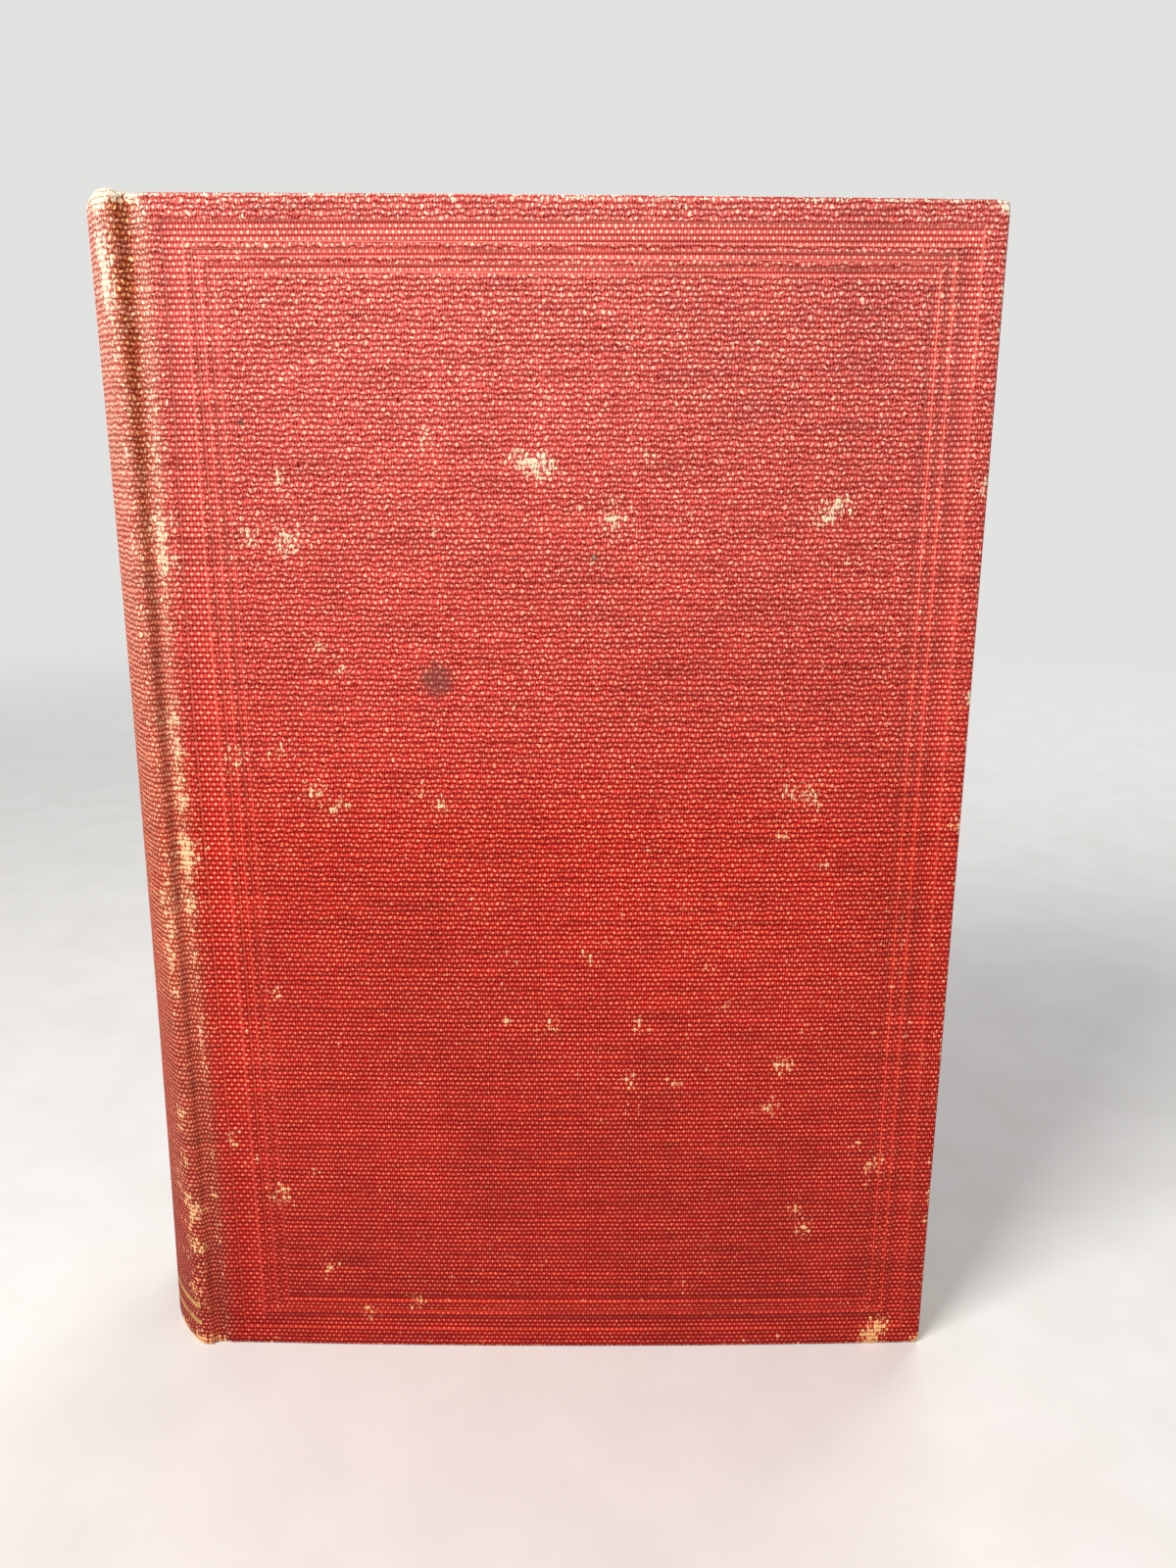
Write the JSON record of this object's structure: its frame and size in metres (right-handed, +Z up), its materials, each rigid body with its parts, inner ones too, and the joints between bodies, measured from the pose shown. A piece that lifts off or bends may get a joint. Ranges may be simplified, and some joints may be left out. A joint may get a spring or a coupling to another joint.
{
  "type": "hardback book",
  "caption": "Cloth-covered hardback book standing upright, with a rounded hollow spine, blind-ruled covers on joint grooves, and a rounded and backed text block.",
  "frame": {"origin": "on the surface the book stands on, under the middle of its outer box", "axes": "+Z up from tail to head, +X from the spine to the fore-edge, -Y out of the front cover"},
  "size_m": [0.1698, 0.0444, 0.2363],
  "materials": {
    "leaves": "matte",
    "endpaper": "matte",
    "gauze": "matte",
    "kraft": "matte",
    "headband": "matte",
    "card": "matte",
    "cloth": "matte",
    "board": "matte"
  },
  "bodies": {
    "text_block": {"pages": "leaves", "front_flyleaf": "endpaper", "back_flyleaf": "endpaper", "spine_mull": "gauze", "spine_lining": "kraft", "head_band": "headband", "tail_band": "headband", "spine_inlay": "card", "spine_cloth": "cloth"},
    "front_cover": {"front_board": "board", "front_cover_cloth": "cloth", "front_mull_flap": "gauze", "front_pastedown": "endpaper"},
    "back_cover": {"back_board": "board", "back_cover_cloth": "cloth", "back_mull_flap": "gauze", "back_pastedown": "endpaper"}
  },
  "joints": [
    {"name": "front_cover_hinge", "type": "hinge", "parent": "text_block", "child": "front_cover", "pos_m": [-0.06865, -0.0221, 0], "axis": [0, 0, -1], "range_deg": [0, 180]},
    {"name": "back_cover_hinge", "type": "hinge", "parent": "text_block", "child": "back_cover", "pos_m": [-0.06865, 0.0221, 0], "axis": [0, 0, 1], "range_deg": [0, 180]}
  ]
}
